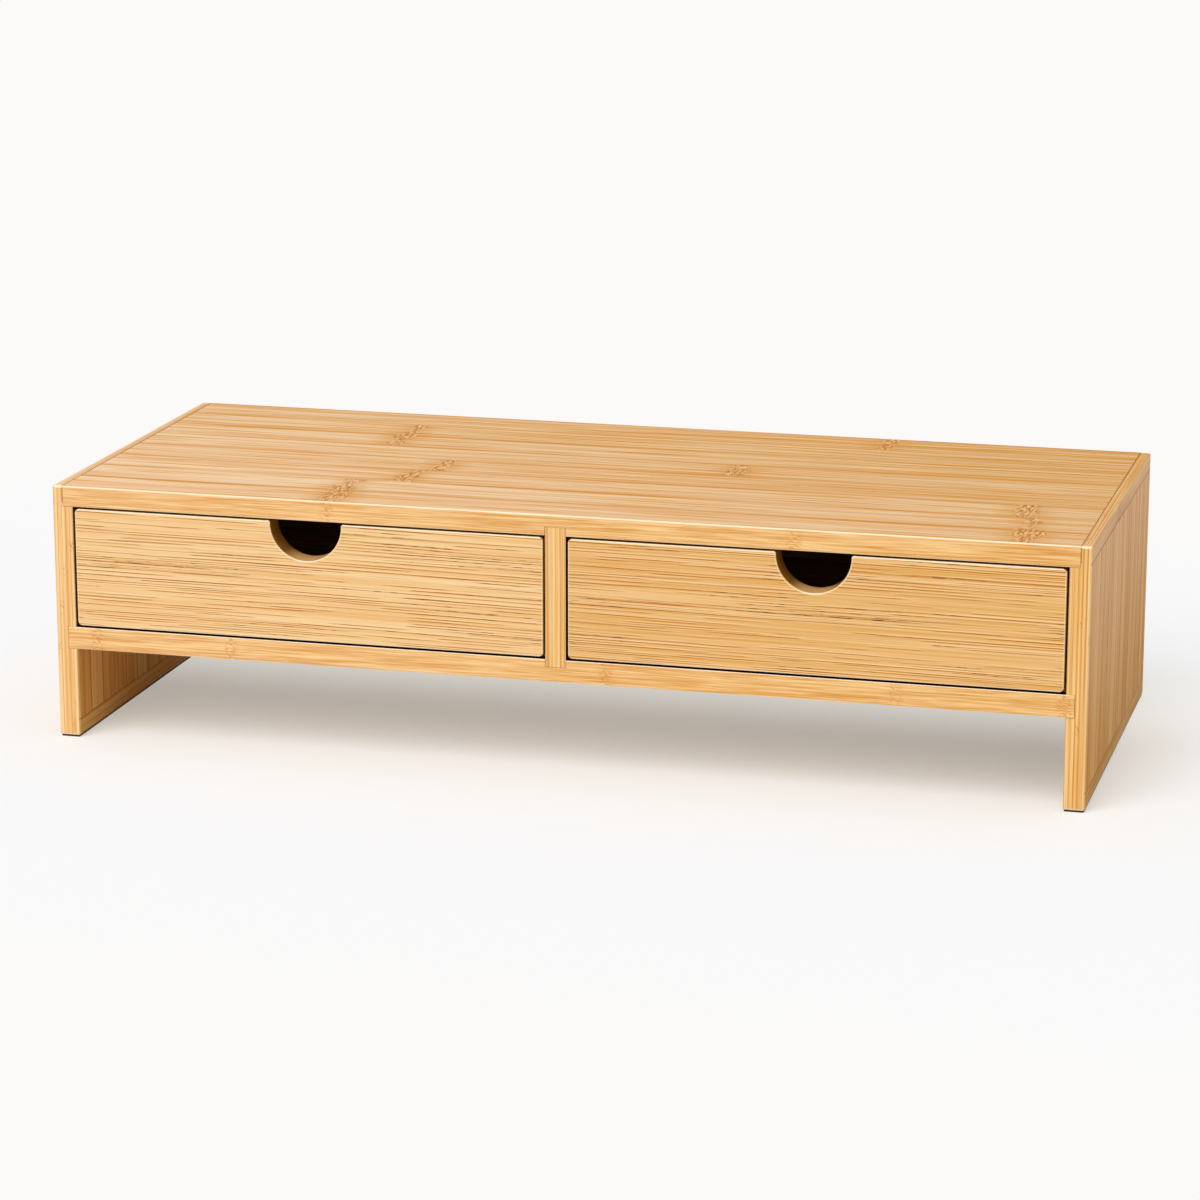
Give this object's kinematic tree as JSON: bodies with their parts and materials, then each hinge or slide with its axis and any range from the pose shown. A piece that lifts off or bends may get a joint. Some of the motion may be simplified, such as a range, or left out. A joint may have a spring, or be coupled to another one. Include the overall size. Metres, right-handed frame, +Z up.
{
  "type": "monitor stand",
  "caption": "Low bamboo desk stand that raises a monitor, with drawers side by side under its top, each pulled by a half-round finger notch, and an open space below.",
  "frame": {"origin": "on the floor under the middle of the stand, centre of the bounding box's bottom face", "axes": "+X to the right along the width, +Y to the rear, +Z up; the drawers pull out along -Y"},
  "size_m": [0.6, 0.25, 0.15],
  "materials": {
    "flat_pressed_bamboo": "flat-pressed bamboo strips under satin clear lacquer",
    "upright_bamboo": "edge-glued bamboo strips, grain upright, satin clear lacquer",
    "side_pressed_bamboo": "side-pressed bamboo with dark fibre streaks, satin clear lacquer",
    "box_bamboo": "sanded bamboo, thin clear lacquer",
    "foot_rubber": "matte foam rubber strip",
    "fastener_steel": "zinc plated"
  },
  "bodies": {
    "stand": {"top_board": "flat_pressed_bamboo", "shelf_board": "flat_pressed_bamboo", "centre_divider": "upright_bamboo", "back_panel": "box_bamboo", "left_side_core": "upright_bamboo", "left_side_top_strip": "upright_bamboo", "left_side_bottom_strip": "upright_bamboo", "left_side_front_lipping": "upright_bamboo", "left_side_rear_lipping": "upright_bamboo", "left_foot_strip": "foot_rubber", "right_side_core": "upright_bamboo", "right_side_top_strip": "upright_bamboo", "right_side_bottom_strip": "upright_bamboo", "right_side_front_lipping": "upright_bamboo", "right_side_rear_lipping": "upright_bamboo", "right_foot_strip": "foot_rubber"},
    "left_drawer": {"left_drawer_front": "side_pressed_bamboo", "left_drawer_left_wall": "box_bamboo", "left_drawer_right_wall": "box_bamboo", "left_drawer_back_wall": "box_bamboo", "left_drawer_bottom": "box_bamboo", "left_drawer_front_screw_1": "fastener_steel", "left_drawer_front_screw_2": "fastener_steel", "left_drawer_front_screw_3": "fastener_steel", "left_drawer_front_screw_4": "fastener_steel", "left_drawer_back_pin_1": "fastener_steel", "left_drawer_back_pin_2": "fastener_steel", "left_drawer_back_pin_3": "fastener_steel", "left_drawer_back_pin_4": "fastener_steel", "left_drawer_bottom_screw_1": "fastener_steel", "left_drawer_bottom_screw_2": "fastener_steel"},
    "right_drawer": {"right_drawer_front": "side_pressed_bamboo", "right_drawer_left_wall": "box_bamboo", "right_drawer_right_wall": "box_bamboo", "right_drawer_back_wall": "box_bamboo", "right_drawer_bottom": "box_bamboo", "right_drawer_front_screw_1": "fastener_steel", "right_drawer_front_screw_2": "fastener_steel", "right_drawer_front_screw_3": "fastener_steel", "right_drawer_front_screw_4": "fastener_steel", "right_drawer_back_pin_1": "fastener_steel", "right_drawer_back_pin_2": "fastener_steel", "right_drawer_back_pin_3": "fastener_steel", "right_drawer_back_pin_4": "fastener_steel", "right_drawer_bottom_screw_1": "fastener_steel", "right_drawer_bottom_screw_2": "fastener_steel"}
  },
  "joints": [
    {"name": "left_drawer_slide", "type": "slide", "parent": "stand", "child": "left_drawer", "axis": [0, -1, 0], "range_m": [0, 0.18]},
    {"name": "right_drawer_slide", "type": "slide", "parent": "stand", "child": "right_drawer", "axis": [0, -1, 0], "range_m": [0, 0.18]}
  ]
}
